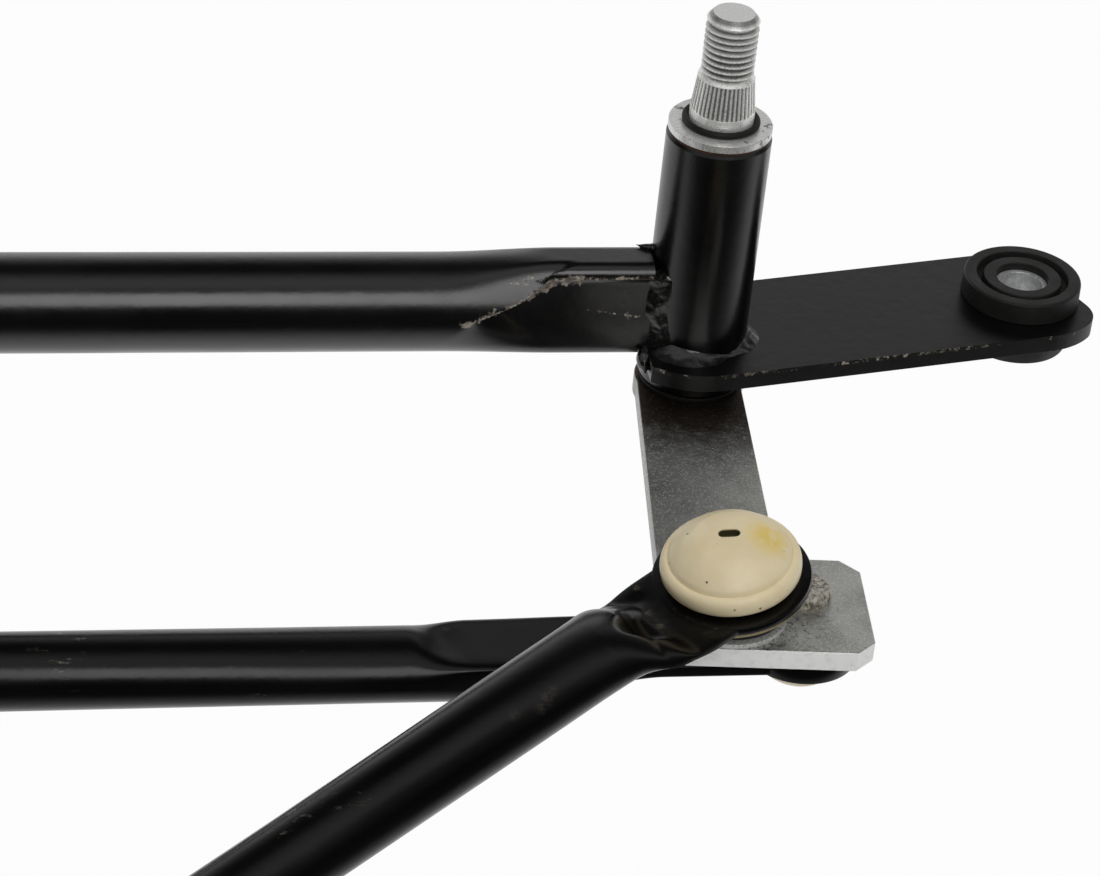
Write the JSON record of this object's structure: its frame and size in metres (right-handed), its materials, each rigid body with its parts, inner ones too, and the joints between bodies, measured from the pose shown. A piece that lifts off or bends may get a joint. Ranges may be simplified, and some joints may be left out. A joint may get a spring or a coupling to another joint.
{
  "type": "windscreen wiper linkage",
  "caption": "Wiper linkage: black tube frame with two pivots, zinc cranks, a connecting link and a drive link with ball joints.",
  "frame": {"origin": "on the right pivot's axis, in the plane of its top washer's upper face", "axes": "+Z along the right pivot shaft towards its thread, +X along the frame tube away from the left pivot, +Y away from the links"},
  "size_m": [0.6458, 0.2416, 0.1246],
  "materials": {
    "black_paint": "semi-gloss",
    "zinc_steel": "zinc plated",
    "bright_steel": "bright",
    "lever_zinc": "dull zinc",
    "rubber": "matte",
    "seal": "matte",
    "bronze": "sintered",
    "socket_plastic": "satin"
  },
  "bodies": {
    "frame": {"frame_tube": "black_paint", "motor_bracket": "black_paint", "bracket_weld": "black_paint", "right_housing": "black_paint", "right_plate": "black_paint", "right_tube_weld": "black_paint", "right_plate_weld": "black_paint", "right_upper_bush": "bronze", "right_lower_bush": "bronze", "right_seal": "seal", "right_grommet": "rubber", "right_sleeve": "bright_steel", "left_housing": "black_paint", "left_plate": "black_paint", "left_tube_weld": "black_paint", "left_plate_weld": "black_paint", "left_upper_bush": "bronze", "left_lower_bush": "bronze", "left_seal": "seal", "left_grommet": "rubber", "left_sleeve": "bright_steel"},
    "right_crank": {"right_shaft": "zinc_steel", "right_washer": "bright_steel", "right_o_ring": "rubber", "right_thrust_washer": "rubber", "right_lever": "lever_zinc", "drive_stud": "zinc_steel", "drive_dust_ring": "bright_steel", "right_link_stud": "zinc_steel"},
    "left_crank": {"left_shaft": "zinc_steel", "left_washer": "bright_steel", "left_o_ring": "rubber", "left_thrust_washer": "rubber", "left_lever": "lever_zinc", "left_link_stud": "zinc_steel"},
    "connecting_link": {"link_tube": "black_paint", "right_link_socket": "socket_plastic", "left_link_socket": "socket_plastic", "right_link_seal": "rubber", "left_link_seal": "rubber"},
    "drive_link": {"drive_tube": "black_paint", "drive_socket": "socket_plastic", "drive_boot": "rubber", "free_socket": "socket_plastic", "free_boot": "rubber"}
  },
  "joints": [
    {"name": "right_pivot", "type": "hinge", "parent": "frame", "child": "right_crank", "pos_m": [0, 0, 0], "axis": [0, 0, 1], "range_deg": [-15, 60]},
    {"name": "left_pivot", "type": "hinge", "parent": "frame", "child": "left_crank", "pos_m": [-0.48, 0, 0], "axis": [0, 0, 1], "range_deg": [-15, 60]},
    {"name": "link_ball", "type": "hinge", "parent": "right_crank", "child": "connecting_link", "pos_m": [0.00831, -0.07371, -0.0669], "axis": [0, 0, 1], "range_deg": [-60, 15]},
    {"name": "drive_ball", "type": "hinge", "parent": "right_crank", "child": "drive_link", "pos_m": [-0.00749, -0.07815, -0.047], "axis": [0, 0, 1], "range_deg": [-60, 15]}
  ],
  "couplings": [
    {"joint": "left_pivot", "follows": "right_pivot", "ratio": 1},
    {"joint": "link_ball", "follows": "right_pivot", "ratio": -1},
    {"joint": "drive_ball", "follows": "right_pivot", "ratio": -1}
  ]
}
